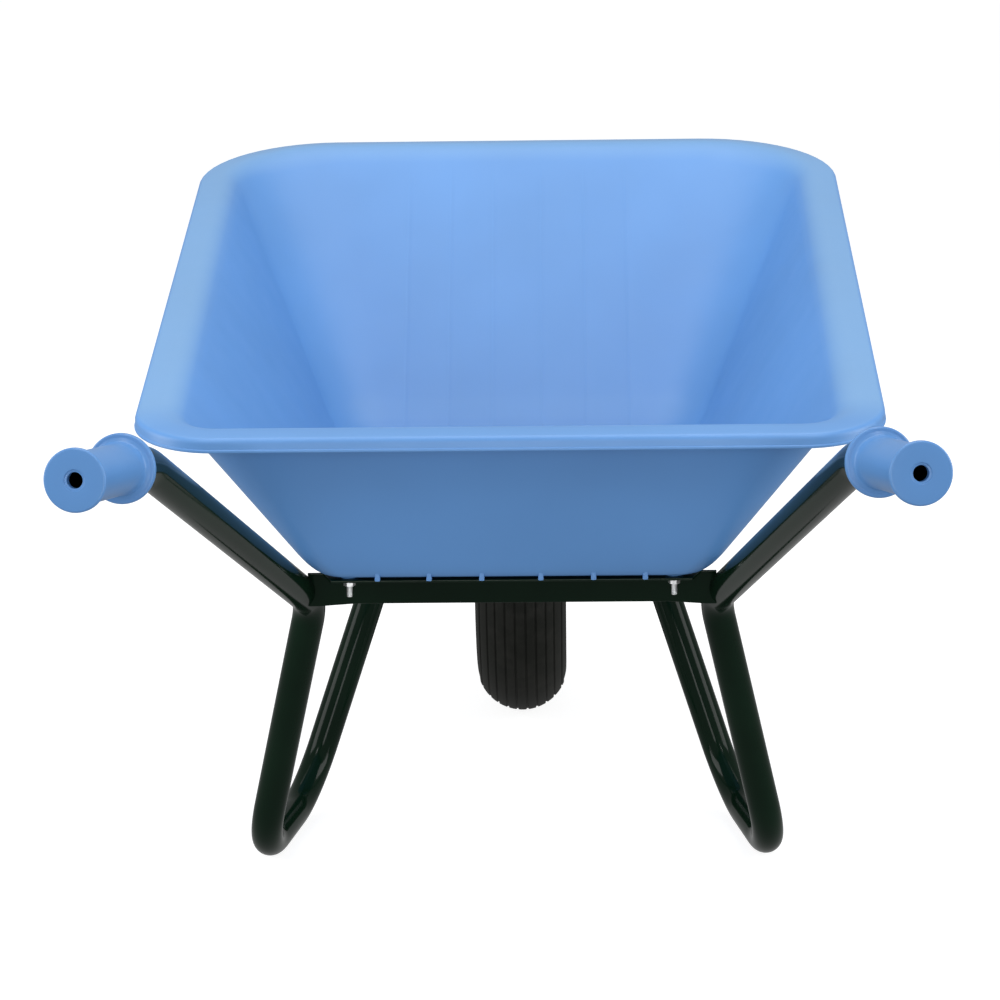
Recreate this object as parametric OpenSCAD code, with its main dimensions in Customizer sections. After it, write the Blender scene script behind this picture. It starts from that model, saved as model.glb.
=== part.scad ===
// Wheelbarrow: moulded plastic pan on a bent steel tube frame with one pneumatic wheel.
// Millimetres, +Z up, +Y from the handles to the wheel, ground at Z = 0, X = 0 is the middle.

/* [Show] */
// Sub-part to draw

/* [Pan] */
// Outer half width of the floor before the bottom fillet
pan_floor_half = 188; // [150:1:220]
// Y of the floor's rear edge
pan_floor_rear = -212; // [-260:1:-150]
// Y of the floor's front edge
pan_floor_front = 288; // [240:1:340]
// Height of the floor's underside
pan_floor_z = 346.5; // [320:0.5:380]
// Outer half width of the walls at the rear rim
pan_rim_half_rear = 315; // [280:1:330]
// Outer half width of the walls at the front rim
pan_rim_half_front = 332; // [290:1:345]
// Y of the rear wall at the rim
pan_rim_rear = -257; // [-300:1:-220]
// Y of the front wall at the rim
pan_rim_front = 592; // [540:1:640]
// Height of the rim above the rear wall
pan_rim_z_rear = 504.5; // [480:0.5:530]
// Height of the rim above the front wall
pan_rim_z_front = 668; // [640:1:700]
// Wall thickness
pan_wall = 4.5; // [3:0.1:7]
// Width of the rolled rim beyond the wall
rim_flange = 36; // [25:1:45]
// Height of the rim's turned-down lip
rim_lip = 15; // [8:0.5:22]
// Height of the ribs under the floor
rib_height = 3; // [2:0.5:10]
// Width of a rib
rib_width = 5; // [3:0.5:8]

/* [Frame tube] */
// Outside diameter of the tube
tube_d = 32; // [25:0.5:38]
// Wall thickness of the tube
tube_wall = 1.6; // [1.2:0.1:2.6]
// Outside diameter of the sleeve that joins the two tubes at the nose
sleeve_d = 37; // [35:0.5:42]

/* [Grips] */
// Length of a grip
grip_length = 115; // [95:1:140]
// Diameter of a grip's middle
grip_d = 41; // [36:0.5:46]
// Diameter of the flange next to the tube
grip_inner_flange_d = 56; // [50:0.5:66]
// Diameter of the flange at the end
grip_end_flange_d = 49; // [42:0.5:54]
// Diameter of the hole in the end
grip_hole_d = 12.5; // [8:0.5:16]

/* [Struts] */
// Thickness of the struts' sheet
strut_sheet = 2.5; // [2:0.5:5]
// Depth of a strut's top flange
strut_flange = 30; // [20:1:40]
// Height of a strut's upright face
strut_height = 31; // [18:0.5:34]
// Extra height of the rear strut's ends
strut_flare = 2.5; // [0:0.5:12]

/* [Fasteners] */
// Diameter of the pan bolts
pan_bolt_d = 6; // [5:1:8]
// Distance of the rear pan bolts from the middle
rear_bolt_x = 155; // [120:1:156]
// Distance of the front pan bolts from the middle
front_bolt_x = 53; // [40:1:65]

/* [Wheel] */
// Tyre diameter
tyre_d = 400; // [360:1:420]
// Tyre width
tyre_width = 108; // [90:1:120]
// Y of the axle
axle_y = 506; // [480:1:530]
// Axle diameter
axle_d = 15.9; // [12:0.1:20]
// Radial play between the axle and its bushes
bush_play = 0.05; // [0.02:0.01:0.1]
// Depth of the tread grooves
groove_depth = 1.5; // [1:0.5:5]

/* [Hidden] */
$fn = 64;

pan_blue = [0.42, 0.58, 0.86];
tube_green = [0.05, 0.13, 0.10];
zinc = [0.78, 0.80, 0.80];
tyre_black = [0.08, 0.08, 0.08];
rim_grey = [0.55, 0.57, 0.58];
bush_white = [0.86, 0.86, 0.82];

tube_r = tube_d / 2;
tube_bore_r = tube_r - tube_wall;
tube_sides = 24;
weld_gap = 0.02;

// Corners of the right-hand tube's centre line, from the grip to the middle of the nose.
knee = [287.3, -605, 547.8];
grip_end = [315, -767, 571];
leg_top = [197, -132, 303.5];
foot_rear = [263, -70, tube_r];
foot_front = [231, 121, tube_r];
limb_top = [120, 234.6, 340];
wheel_side = [90, 425, 246];
nose_corner = [90, 754, 200];
nose_mid = [0, 754, 200];
grip_axis = unit(grip_end - knee);
tube_end = grip_end - 9 * grip_axis;
tube_points = [tube_end, knee, leg_top, foot_rear, foot_front, limb_top, wheel_side,
    nose_corner, nose_mid];
tube_bends = [0, 120, 45, 75, 90, 50, 120, 60, 0];

strut_top = pan_floor_z - rib_height;
rear_strut_y = -177;
front_strut_y = 250;
rear_bolt_y = rear_strut_y - strut_flange / 2;
front_bolt_y = front_strut_y - strut_flange / 2;
bolt_clear_r = pan_bolt_d / 2 + 0.25;
bolt_nut_h = 5;
washer_h = 1.2;
rib_x = [28, 78, 127];

tyre_r = tyre_d / 2;
section_r = tyre_width / 2;
section_ring = tyre_r - section_r;
axle_z = tyre_r;
bead_r = 101.6;
rim_half_width = 31.4;
rim_edge_r = 109;
casing = 9;
inner_tube_ring = section_ring + 2;
inner_tube_r = 42.5;
rim_sheet = 2.6;
hub_half = 46;
hub_r = 17;
bush_r = 12;
bush_flange_h = 2;
plate_inner_x = 87;
plate_thickness = 5;
rim_bolt_ring = 55;
rim_bolt_count = 4;
valve_dir = [0.8, -0.6];
valve_at = [8, 91.5];

// Pan wall sections: [rear y, front y, rear half, front half, rear z, front z, rear radius,
// front radius] at the floor and at the rim.
section_floor = [pan_floor_rear, pan_floor_front, pan_floor_half, pan_floor_half, pan_floor_z,
    pan_floor_z, 26, 52];
section_rim = [pan_rim_rear, pan_rim_front, pan_rim_half_rear, pan_rim_half_front,
    pan_rim_z_rear, pan_rim_z_front, 46, 116];
corner_steps = 7;
fillet_steps = 5;
fillet_rise = 0.13;
fillet_inset = 6;
fillet_narrowing = 7;
inner_shift = 5.4;
rim_follow = 0.4;
tab_depth = 3.2;
tab_height = 8;

function unit(v) = v / norm(v);

// One closed loop of points round the pan at wall height t, grown outwards, lifted and narrowed.
function level(t, narrow) =
    (1 - t) * section_floor + t * section_rim - narrow * [0, 0, 1, 1, 0, 0, 0, 0];

function corner_point(cx, cy, r, grow, a, s, lift) =
    let (slope_y = cy + (r + rim_follow * grow) * sin(a))
    [
        cx + (r + grow) * cos(a),
        cy + (r + grow) * sin(a),
        s[4] + (s[5] - s[4]) * (slope_y - s[0]) / (s[1] - s[0]) + lift
    ];

function pan_ring(t, grow, lift, narrow = 0) =
    let (
        s = level(t, narrow),
        steps = [for (i = [0:corner_steps]) 90 * i / corner_steps],
        corners = [
            [s[3] - s[7], s[1] - s[7], s[7], 0],
            [-s[3] + s[7], s[1] - s[7], s[7], 90],
            [-s[2] + s[6], s[0] + s[6], s[6], 180],
            [s[2] - s[6], s[0] + s[6], s[6], 270]
        ]
    )
    [for (c = corners) for (a = steps) corner_point(c[0], c[1], c[2], grow, a + c[3], s, lift)];

// The curve between a floor and a wall: [wall height, growth, lift, narrowing].
function fillet_curve(grow, lift) =
    [for (i = [0:fillet_steps])
        let (u = i / fillet_steps, left = (1 - u) * (1 - u))
        [u * u * fillet_rise, grow - fillet_inset * left, lift, fillet_narrowing * left]];

function reversed(v) = [for (i = [len(v) - 1:-1:0]) v[i]];

pan_profile = concat(
    fillet_curve(0, 0),
    [
        [0.6, 0, 0, 0],
        [0.93, 0, 0, 0],
        [0.962, 0.8, 0, 0],
        [0.985, 4, -2.6, 0],
        [1, 9, -5.3, 0],
        [1, rim_flange - 7, -6.4, 0],
        [1, rim_flange - 4, -8.6, 0],
        [1, rim_flange - 4, 2 - rim_lip, 0],
        [1, rim_flange - 3.5, -rim_lip, 0],
        [1, rim_flange - 0.5, -rim_lip, 0],
        [1, rim_flange, 2 - rim_lip, 0],
        [1, rim_flange - 0.2, -6.2, 0],
        [1, rim_flange - 1.6, -3.4, 0],
        [1, rim_flange - 5, -1.8, 0],
        [1, 10, 0, 0],
        [0.996, 3.3, 0, 0],
        [0.985, -1.6, 0, 0],
        [0.966, -4.4, 0, 0],
        [0.94, -inner_shift, 0, 0]
    ],
    [[0.6, -inner_shift, 0, 0]],
    reversed(fillet_curve(-inner_shift, pan_wall))
);

module pan_shell() {
    rings = [for (p = pan_profile) pan_ring(p[0], p[1], p[2], p[3])];
    count = len(rings[0]);
    last = len(rings) - 1;
    sides = [for (j = [0:last - 1]) for (i = [0:count - 1])
        let (
            a = j * count + i,
            b = j * count + (i + 1) % count,
            c = b + count,
            d = a + count
        )
        for (f = [[a, d, b], [b, d, c]]) f];
    bottom = [for (i = [1:count - 2]) [0, i, i + 1]];
    top = [for (i = [1:count - 2]) [last * count, last * count + i + 1, last * count + i]];
    polyhedron(points = [for (r = rings) for (p = r) p], faces = concat(sides, bottom, top));
}

module pan_ribs() {
    front_run = [pan_rim_front - pan_floor_front, pan_rim_z_front - pan_floor_z];
    front_angle = atan2(front_run[1], front_run[0]);
    for (x = rib_x) {
        for (side = [-1, 1]) {
            translate([side * x - rib_width / 2, pan_floor_rear + 1, strut_top])
                cube([rib_width, pan_floor_front - pan_floor_rear - 4, rib_height + 1]);
            translate([side * x - rib_width / 2, pan_floor_rear + 0.5, pan_floor_z - 3.5])
                cube([rib_width, tab_depth, tab_height]);
            translate([side * x - rib_width / 2, pan_floor_front, pan_floor_z])
                rotate([front_angle, 0, 0])
                    translate([0, 16, -4])
                        cube([rib_width, norm(front_run) - 70, 5]);
        }
    }
}

module pan_bolt_places() {
    for (side = [-1, 1]) {
        translate([side * rear_bolt_x, rear_bolt_y, 0])
            children();
        translate([side * front_bolt_x, front_bolt_y, 0])
            children();
    }
}

module pan() {
    color(pan_blue)
        difference() {
            union() {
                pan_shell();
                pan_ribs();
                pan_bolt_places()
                    translate([0, 0, strut_top])
                        cylinder(h = rib_height + 1, r = 9);
            }
            pan_bolt_places()
                translate([0, 0, strut_top - 1])
                    cylinder(h = 20, r = bolt_clear_r);
        }
}

// Steel tube. The solid bars of straight() and bend() cut welded pieces back to the tube.
module straight(a, b, r) {
    d = unit(b - a);
    translate(a)
        rotate([0, acos(d[2]), atan2(d[1], d[0])])
            cylinder(h = norm(b - a), r = r);
}

function bend_turn(p, i) = 180 - acos(unit(p[i - 1] - p[i]) * unit(p[i + 1] - p[i]));
function bend_reach(p, radii, i) =
    (i == 0 || i == len(p) - 1) ? 0 : radii[i] * tan(bend_turn(p, i) / 2);

module bend(p, radii, i, r) {
    turn = bend_turn(p, i);
    back = unit(p[i - 1] - p[i]);
    ahead = unit(p[i + 1] - p[i]);
    centre = p[i] + unit(back + ahead) * radii[i] / cos(turn / 2);
    x_dir = unit(p[i] + back * bend_reach(p, radii, i) - centre);
    z_dir = unit(cross(x_dir, p[i] + ahead * bend_reach(p, radii, i) - centre));
    y_dir = cross(z_dir, x_dir);
    multmatrix([
        [x_dir[0], y_dir[0], z_dir[0], centre[0]],
        [x_dir[1], y_dir[1], z_dir[1], centre[1]],
        [x_dir[2], y_dir[2], z_dir[2], centre[2]],
        [0, 0, 0, 1]
    ])
        rotate_extrude(angle = turn)
            translate([radii[i], 0])
                circle(r = r);
}

// Where the centre line of the bend at corner i passes: [centre, x, y] of its circle.
function bend_circle(i) =
    let (
        p = tube_points,
        turn = bend_turn(p, i),
        reach = bend_reach(p, tube_bends, i),
        back = unit(p[i - 1] - p[i]),
        ahead = unit(p[i + 1] - p[i]),
        centre = p[i] + unit(back + ahead) * tube_bends[i] / cos(turn / 2),
        x_dir = unit(p[i] + back * reach - centre),
        z_dir = unit(cross(x_dir, p[i] + ahead * reach - centre))
    )
    [centre, x_dir, cross(z_dir, x_dir)];

// Stations along the centre line: [position, direction].
tube_stations = concat(
    [[tube_points[0], unit(tube_points[1] - tube_points[0])]],
    [for (i = [1:len(tube_points) - 2])
        let (
            c = bend_circle(i),
            turn = bend_turn(tube_points, i),
            steps = ceil(turn / 9)
        )
        for (k = [0:steps])
            let (a = turn * k / steps)
            [
                c[0] + tube_bends[i] * (cos(a) * c[1] + sin(a) * c[2]),
                cos(a) * c[2] - sin(a) * c[1]
            ]
    ],
    [[nose_mid, unit(nose_mid - nose_corner)]]
);

// Sideways directions that follow the stations without twisting.
function carried(x_dir, i = 0) =
    i == len(tube_stations) ? [] :
    let (t = tube_stations[i][1], x_now = unit(x_dir - (x_dir * t) * t))
    concat([x_now], carried(x_now, i + 1));

function tube_skin(r, sideways) =
    [for (j = [0:len(tube_stations) - 1])
        let (y_dir = cross(tube_stations[j][1], sideways[j]))
        for (k = [0:tube_sides - 1])
            let (a = 360 * k / tube_sides)
            tube_stations[j][0] + r * (cos(a) * sideways[j] + sin(a) * y_dir)];

module frame_tube() {
    n = tube_sides;
    last = len(tube_stations) - 1;
    inner = n * (last + 1);
    sideways = carried([0, 0, 1]);
    walls = [for (j = [0:last - 1]) for (k = [0:n - 1])
        let (a = j * n + k, b = j * n + (k + 1) % n, c = b + n, d = a + n)
        for (f = [[a, d, b], [b, d, c], [a, b, d] + inner * [1, 1, 1], [b, c, d] + inner * [1, 1, 1]])
            f];
    ends = [for (k = [0:n - 1])
        let (
            a = k,
            b = (k + 1) % n,
            c = last * n + k,
            d = last * n + (k + 1) % n
        )
        for (f = [[a, b, b + inner], [a, b + inner, a + inner],
            [c, d + inner, d], [c, c + inner, d + inner]])
            f];
    color(tube_green)
        polyhedron(
            points = concat(tube_skin(tube_r, sideways), tube_skin(tube_bore_r, sideways)),
            faces = concat(walls, ends)
        );
}

module right_frame_tube() {
    frame_tube();
}

module left_frame_tube() {
    mirror([1, 0, 0])
        frame_tube();
}

// The tube's outside near a weld, which the struts and plates are cut back to.
module weld_cut(a, b) {
    straight(a, b, tube_r + weld_gap);
}

module nose_sleeve() {
    color(tube_green)
        translate(nose_mid)
            rotate([0, 90, 0])
                difference() {
                    cylinder(h = 50, r = sleeve_d / 2, center = true);
                    cylinder(h = 60, r = tube_r + weld_gap, center = true);
                }
}

// Grips: a spool turned about its own axis, from the inner flange to the end.
module grip() {
    r_mid = grip_d / 2;
    r_in = grip_inner_flange_d / 2;
    r_end = grip_end_flange_d / 2;
    cover = 7;
    d = grip_axis;
    color(pan_blue)
        translate(grip_end - grip_axis * grip_length)
            rotate([0, acos(d[2]), atan2(d[1], d[0])])
                difference() {
                    rotate_extrude()
                        polygon([
                            [0, 0],
                            [r_in - 1, 0],
                            [r_in, 1.5],
                            [r_in, 5],
                            [r_in - 1.5, 6.5],
                            [r_mid + 4, 8],
                            [r_mid + 1.2, 11],
                            [r_mid, 17],
                            [r_mid, grip_length - 20],
                            [r_mid + 0.6, grip_length - 14],
                            [r_end - 0.6, grip_length - 10],
                            [r_end, grip_length - 8],
                            [r_end, grip_length - 1.5],
                            [r_end - 1.5, grip_length],
                            [0, grip_length]
                        ]);
                    translate([0, 0, -1])
                        cylinder(h = grip_length - cover + 1, r = tube_r + weld_gap);
                    cylinder(h = grip_length + 1, r = grip_hole_d / 2);
                }
}

module right_grip() {
    grip();
}

module left_grip() {
    mirror([1, 0, 0])
        grip();
}

// Struts: an upright face with a flange along its top edge, towards the handles.
module rear_strut() {
    reach = 199;
    flare_from = 150;
    flange_reach = 172;
    flange_end = 181;
    low = strut_top - strut_height;
    color(tube_green)
        difference() {
            union() {
                translate([0, rear_strut_y + strut_sheet, 0])
                    rotate([90, 0, 0])
                        linear_extrude(height = strut_sheet)
                            polygon([
                                [-reach, low - strut_flare],
                                [-reach + 10, low - strut_flare],
                                [-flare_from, low],
                                [flare_from, low],
                                [reach - 10, low - strut_flare],
                                [reach, low - strut_flare],
                                [reach, strut_top],
                                [-reach, strut_top]
                            ]);
                translate([0, rear_strut_y, strut_top - strut_sheet])
                    linear_extrude(height = strut_sheet)
                        polygon([
                            [-flange_end, 1],
                            [-flange_end, 0],
                            [-flange_reach, -strut_flange],
                            [flange_reach, -strut_flange],
                            [flange_end, 0],
                            [flange_end, 1]
                        ]);
            }
            for (side = [0, 1])
                mirror([side, 0, 0])
                    weld_cut(knee, leg_top);
            for (side = [-1, 1])
                translate([side * rear_bolt_x, rear_bolt_y, strut_top - 10])
                    cylinder(h = 20, r = bolt_clear_r);
        }
}

module front_strut() {
    reach = 138;
    low = strut_top - strut_height;
    color(tube_green)
        difference() {
            union() {
                translate([-reach, front_strut_y, low])
                    cube([2 * reach, strut_sheet, strut_height]);
                translate([-reach, front_strut_y - strut_flange, strut_top - strut_sheet])
                    cube([2 * reach, strut_flange + 1, strut_sheet]);
            }
            for (side = [0, 1])
                mirror([side, 0, 0])
                    bend(tube_points, tube_bends, 5, tube_r + weld_gap);
            for (side = [-1, 1])
                translate([side * front_bolt_x, front_bolt_y, strut_top - 10])
                    cylinder(h = 20, r = bolt_clear_r);
        }
}

// Pan fasteners.
module hexagon(flats, h) {
    cylinder(h = h, r = flats / 2 / cos(30), $fn = 6);
}

module bolt_pair(x, y) {
    for (side = [-1, 1])
        translate([side * x, y, 0])
            children();
}

module cup_bolt() {
    head_z = pan_floor_z + pan_wall;
    tip_z = strut_top - strut_sheet - washer_h - bolt_nut_h - 11;
    translate([0, 0, tip_z])
        cylinder(h = head_z - tip_z + 1, r = pan_bolt_d / 2);
    translate([0, 0, head_z])
        rotate_extrude()
            polygon([[0, 0], [7.5, 0], [7.3, 1], [6, 2.4], [4, 3.3], [0, 3.8]]);
}

module pan_washer() {
    translate([0, 0, strut_top - strut_sheet - washer_h])
        difference() {
            cylinder(h = washer_h, r = 6.4);
            translate([0, 0, -1])
                cylinder(h = washer_h + 2, r = bolt_clear_r);
        }
}

module pan_nut() {
    translate([0, 0, strut_top - strut_sheet - washer_h - bolt_nut_h])
        difference() {
            hexagon(10, bolt_nut_h);
            translate([0, 0, -1])
                cylinder(h = bolt_nut_h + 2, r = pan_bolt_d / 2 + weld_gap);
        }
}

module rear_pan_bolts() {
    color(zinc)
        bolt_pair(rear_bolt_x, rear_bolt_y)
            cup_bolt();
}

module rear_pan_washers() {
    color(zinc)
        bolt_pair(rear_bolt_x, rear_bolt_y)
            pan_washer();
}

module rear_pan_nuts() {
    color(zinc)
        bolt_pair(rear_bolt_x, rear_bolt_y)
            pan_nut();
}

module front_pan_bolts() {
    color(zinc)
        bolt_pair(front_bolt_x, front_bolt_y)
            cup_bolt();
}

module front_pan_washers() {
    color(zinc)
        bolt_pair(front_bolt_x, front_bolt_y)
            pan_washer();
}

module front_pan_nuts() {
    color(zinc)
        bolt_pair(front_bolt_x, front_bolt_y)
            pan_nut();
}

// Axle and its mounting. Turned pieces are drawn along +Z and laid along X.
module on_axle(x = 0) {
    translate([x, axle_y, axle_z])
        rotate([0, 90, 0])
            children();
}

module both_sides() {
    children();
    mirror([1, 0, 0])
        children();
}

module ring_part(x, h, r_out, r_in) {
    on_axle(x)
        difference() {
            cylinder(h = h, r = r_out);
            translate([0, 0, -1])
                cylinder(h = h + 2, r = r_in);
        }
}

module axle_plate() {
    color(tube_green)
        difference() {
            translate([plate_inner_x, axle_y, axle_z])
                rotate([90, 0, 90])
                    linear_extrude(height = plate_thickness)
                        polygon([
                            [-34, 34],
                            [-17, -8],
                            [-8, -17],
                            [8, -17],
                            [17, -8],
                            [34, 34]
                        ]);
            weld_cut(wheel_side, nose_corner);
            on_axle(plate_inner_x - 1)
                cylinder(h = plate_thickness + 2, r = axle_d / 2 + 0.1);
        }
}

module right_axle_plate() {
    axle_plate();
}

module left_axle_plate() {
    mirror([1, 0, 0])
        axle_plate();
}

module axle() {
    color(zinc)
        on_axle(-109)
            cylinder(h = 218, r = axle_d / 2);
}

module axle_washers() {
    color(zinc)
        both_sides()
            ring_part(plate_inner_x + plate_thickness, 2.5, 14, axle_d / 2 + 0.2);
}

module axle_nuts() {
    color(zinc)
        both_sides()
            on_axle(plate_inner_x + plate_thickness + 2.5)
                difference() {
                    hexagon(24, 11);
                    translate([0, 0, -1])
                        cylinder(h = 13, r = axle_d / 2 + weld_gap);
                }
}

module axle_spacers() {
    spacer_x = hub_half + bush_flange_h + 0.4;
    color(zinc)
        both_sides()
            ring_part(spacer_x, plate_inner_x - spacer_x, 12, axle_d / 2 + 0.2);
}

// Wheel.
module groove_ring() {
    for (a = [6.4, 18.8, 32.2, 45.3, 60.9])
        for (side = [-1, 1])
            rotate_extrude()
                translate([section_ring, 0])
                    rotate(side * a)
                        translate([section_r - groove_depth, -1.3])
                            square([groove_depth + 4, 2.6]);
}

module tyre() {
    cavity_r = section_r - casing;
    color(tyre_black)
        on_axle()
            difference() {
                rotate_extrude()
                    translate([section_ring, 0])
                        circle(r = section_r);
                rotate_extrude()
                    translate([section_ring, 0])
                        circle(r = cavity_r);
                cylinder(h = 2 * section_r + 2, r = bead_r, center = true);
                for (side = [0, 1])
                    mirror([0, 0, side])
                        translate([0, 0, rim_half_width])
                            cylinder(h = section_r, r = rim_edge_r + 1);
                groove_ring();
            }
}

module inner_tube() {
    color(tyre_black)
        on_axle()
            difference() {
                rotate_extrude()
                    translate([inner_tube_ring, 0])
                        circle(r = inner_tube_r);
                rotate_extrude()
                    translate([inner_tube_ring, 0])
                        circle(r = inner_tube_r - 2);
            }
}

module rim_bolt_places() {
    for (i = [0:rim_bolt_count - 1])
        rotate([0, 0, 45 + 360 * i / rim_bolt_count])
            translate([rim_bolt_ring, 0, 0])
                children();
}

// The valve leans out through the right-hand rim half, above the axle.
module on_valve(from) {
    translate([valve_at[0] + from * valve_dir[0], axle_y, axle_z + valve_at[1] + from * valve_dir[1]])
        rotate([0, atan2(valve_dir[0], valve_dir[1]), 0])
            children();
}

module rim_half() {
    color(rim_grey)
        difference() {
            on_axle()
                rotate_extrude()
                    polygon([
                        [hub_r + weld_gap, 0],
                        [84, 0],
                        [bead_r - 0.1, 12],
                        [bead_r - 0.1, rim_half_width],
                        [rim_edge_r, rim_half_width],
                        [rim_edge_r, rim_half_width + rim_sheet],
                        [bead_r - 0.1 - rim_sheet, rim_half_width + rim_sheet],
                        [bead_r - 0.1 - rim_sheet, 13.6],
                        [82.6, rim_sheet],
                        [hub_r + weld_gap, rim_sheet]
                    ]);
            on_axle()
                rim_bolt_places()
                    translate([0, 0, -1])
                        cylinder(h = rim_sheet + 2, r = 4.2);
        }
}

module right_rim() {
    difference() {
        rim_half();
        color(rim_grey)
            on_valve(-8)
                cylinder(h = 16, r = 4.3);
    }
}

module left_rim() {
    mirror([1, 0, 0])
        rim_half();
}

module hub_tube() {
    color(rim_grey)
        ring_part(-hub_half, 2 * hub_half, hub_r, bush_r + 0.02);
}

module bush() {
    color(bush_white)
        on_axle(hub_half - 26)
            difference() {
                union() {
                    cylinder(h = 26 + bush_flange_h, r = bush_r);
                    translate([0, 0, 26])
                        cylinder(h = bush_flange_h, r = 15.5);
                }
                translate([0, 0, -1])
                    cylinder(h = 40, r = axle_d / 2 + bush_play);
            }
}

module right_bush() {
    bush();
}

module left_bush() {
    mirror([1, 0, 0])
        bush();
}

module rim_bolts() {
    color(zinc)
        on_axle()
            rim_bolt_places() {
                translate([0, 0, -13])
                    cylinder(h = 13 + rim_sheet + 1, r = 3.95);
                translate([0, 0, rim_sheet])
                    hexagon(13, 5.3);
            }
}

module rim_nuts() {
    color(zinc)
        on_axle()
            rim_bolt_places()
                translate([0, 0, -rim_sheet - 6.5])
                    difference() {
                        hexagon(13, 6.5);
                        translate([0, 0, -1])
                            cylinder(h = 9, r = 3.95 + weld_gap);
                    }
}

module valve_stem() {
    color(tyre_black)
        on_valve(-11)
            cylinder(h = 37, r = 4);
}

module valve_cap() {
    color(tyre_black)
        on_valve(18)
            difference() {
                cylinder(h = 12, r = 5.2);
                translate([0, 0, -1])
                    cylinder(h = 9.5, r = 4 + weld_gap);
            }
}

pan();
left_frame_tube();
right_frame_tube();
nose_sleeve();
left_grip();
right_grip();
rear_strut();
front_strut();
rear_pan_bolts();
rear_pan_washers();
rear_pan_nuts();
front_pan_bolts();
front_pan_washers();
front_pan_nuts();
left_axle_plate();
right_axle_plate();
axle();
axle_nuts();
axle_washers();
axle_spacers();
tyre();
inner_tube();
left_rim();
right_rim();
hub_tube();
left_bush();
right_bush();
rim_bolts();
rim_nuts();
valve_stem();
valve_cap();
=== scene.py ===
"""Looks of the wheelbarrow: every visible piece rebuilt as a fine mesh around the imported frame."""

import math
import random

import bmesh
import bpy
from mathutils import Matrix, Vector


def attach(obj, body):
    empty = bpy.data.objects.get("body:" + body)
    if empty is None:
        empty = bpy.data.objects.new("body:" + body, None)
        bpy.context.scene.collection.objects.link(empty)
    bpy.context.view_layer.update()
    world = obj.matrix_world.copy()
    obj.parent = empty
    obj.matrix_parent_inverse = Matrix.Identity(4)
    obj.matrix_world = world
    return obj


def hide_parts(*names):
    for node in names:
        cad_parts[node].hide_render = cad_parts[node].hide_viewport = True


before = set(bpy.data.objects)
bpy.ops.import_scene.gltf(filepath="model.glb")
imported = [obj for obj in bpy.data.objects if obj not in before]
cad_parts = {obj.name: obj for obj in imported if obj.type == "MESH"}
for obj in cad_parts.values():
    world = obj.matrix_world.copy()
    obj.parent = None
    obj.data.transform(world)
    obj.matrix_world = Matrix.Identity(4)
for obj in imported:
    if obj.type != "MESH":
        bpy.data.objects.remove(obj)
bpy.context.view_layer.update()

MM = 0.001
FRAME_BODY = "frame"
WHEEL_BODY = "wheel"


# ---------------------------------------------------------------- materials


def new_material(name):
    material = bpy.data.materials.new(name)
    material.use_nodes = True
    tree = material.node_tree
    tree.nodes.clear()
    output = tree.nodes.new("ShaderNodeOutputMaterial")
    shader = tree.nodes.new("ShaderNodeBsdfPrincipled")
    tree.links.new(shader.outputs["BSDF"], output.inputs["Surface"])
    return material, tree, shader


def object_coordinates(tree, scale=(1.0, 1.0, 1.0)):
    coordinates = tree.nodes.new("ShaderNodeTexCoord")
    mapping = tree.nodes.new("ShaderNodeMapping")
    mapping.inputs["Scale"].default_value = scale
    tree.links.new(coordinates.outputs["Object"], mapping.inputs["Vector"])
    return mapping.outputs["Vector"]


def noise(tree, vector, scale, detail=4.0, roughness=0.5):
    node = tree.nodes.new("ShaderNodeTexNoise")
    node.inputs["Scale"].default_value = scale
    node.inputs["Detail"].default_value = detail
    node.inputs["Roughness"].default_value = roughness
    tree.links.new(vector, node.inputs["Vector"])
    return node.outputs["Fac"]


def ramp(tree, factor, low, high, start=0.35, stop=0.65):
    """Blends from low to high as the factor goes from start to stop."""
    node = tree.nodes.new("ShaderNodeValToRGB")
    node.color_ramp.elements[0].position = start
    node.color_ramp.elements[1].position = stop
    node.color_ramp.elements[0].color = (*low, 1.0)
    node.color_ramp.elements[1].color = (*high, 1.0)
    tree.links.new(factor, node.inputs["Fac"])
    return node.outputs["Color"]


def span(tree, factor, low, high):
    node = tree.nodes.new("ShaderNodeMapRange")
    node.inputs["To Min"].default_value = low
    node.inputs["To Max"].default_value = high
    tree.links.new(factor, node.inputs["Value"])
    return node.outputs["Result"]


def bump(tree, shader, height, strength, distance):
    node = tree.nodes.new("ShaderNodeBump")
    node.inputs["Strength"].default_value = strength
    node.inputs["Distance"].default_value = distance
    tree.links.new(height, node.inputs["Height"])
    tree.links.new(node.outputs["Normal"], shader.inputs["Normal"])


def shade(color, factor):
    return tuple(min(1.0, c * factor) for c in color)


# Painted sheen on up-facing tops: its strength, and the y span over which it weakens towards the rear rim.
TOP_SHEEN = 0.5
SHEEN_LOW_Y = -0.26
SHEEN_FULL_Y = -0.20


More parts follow.
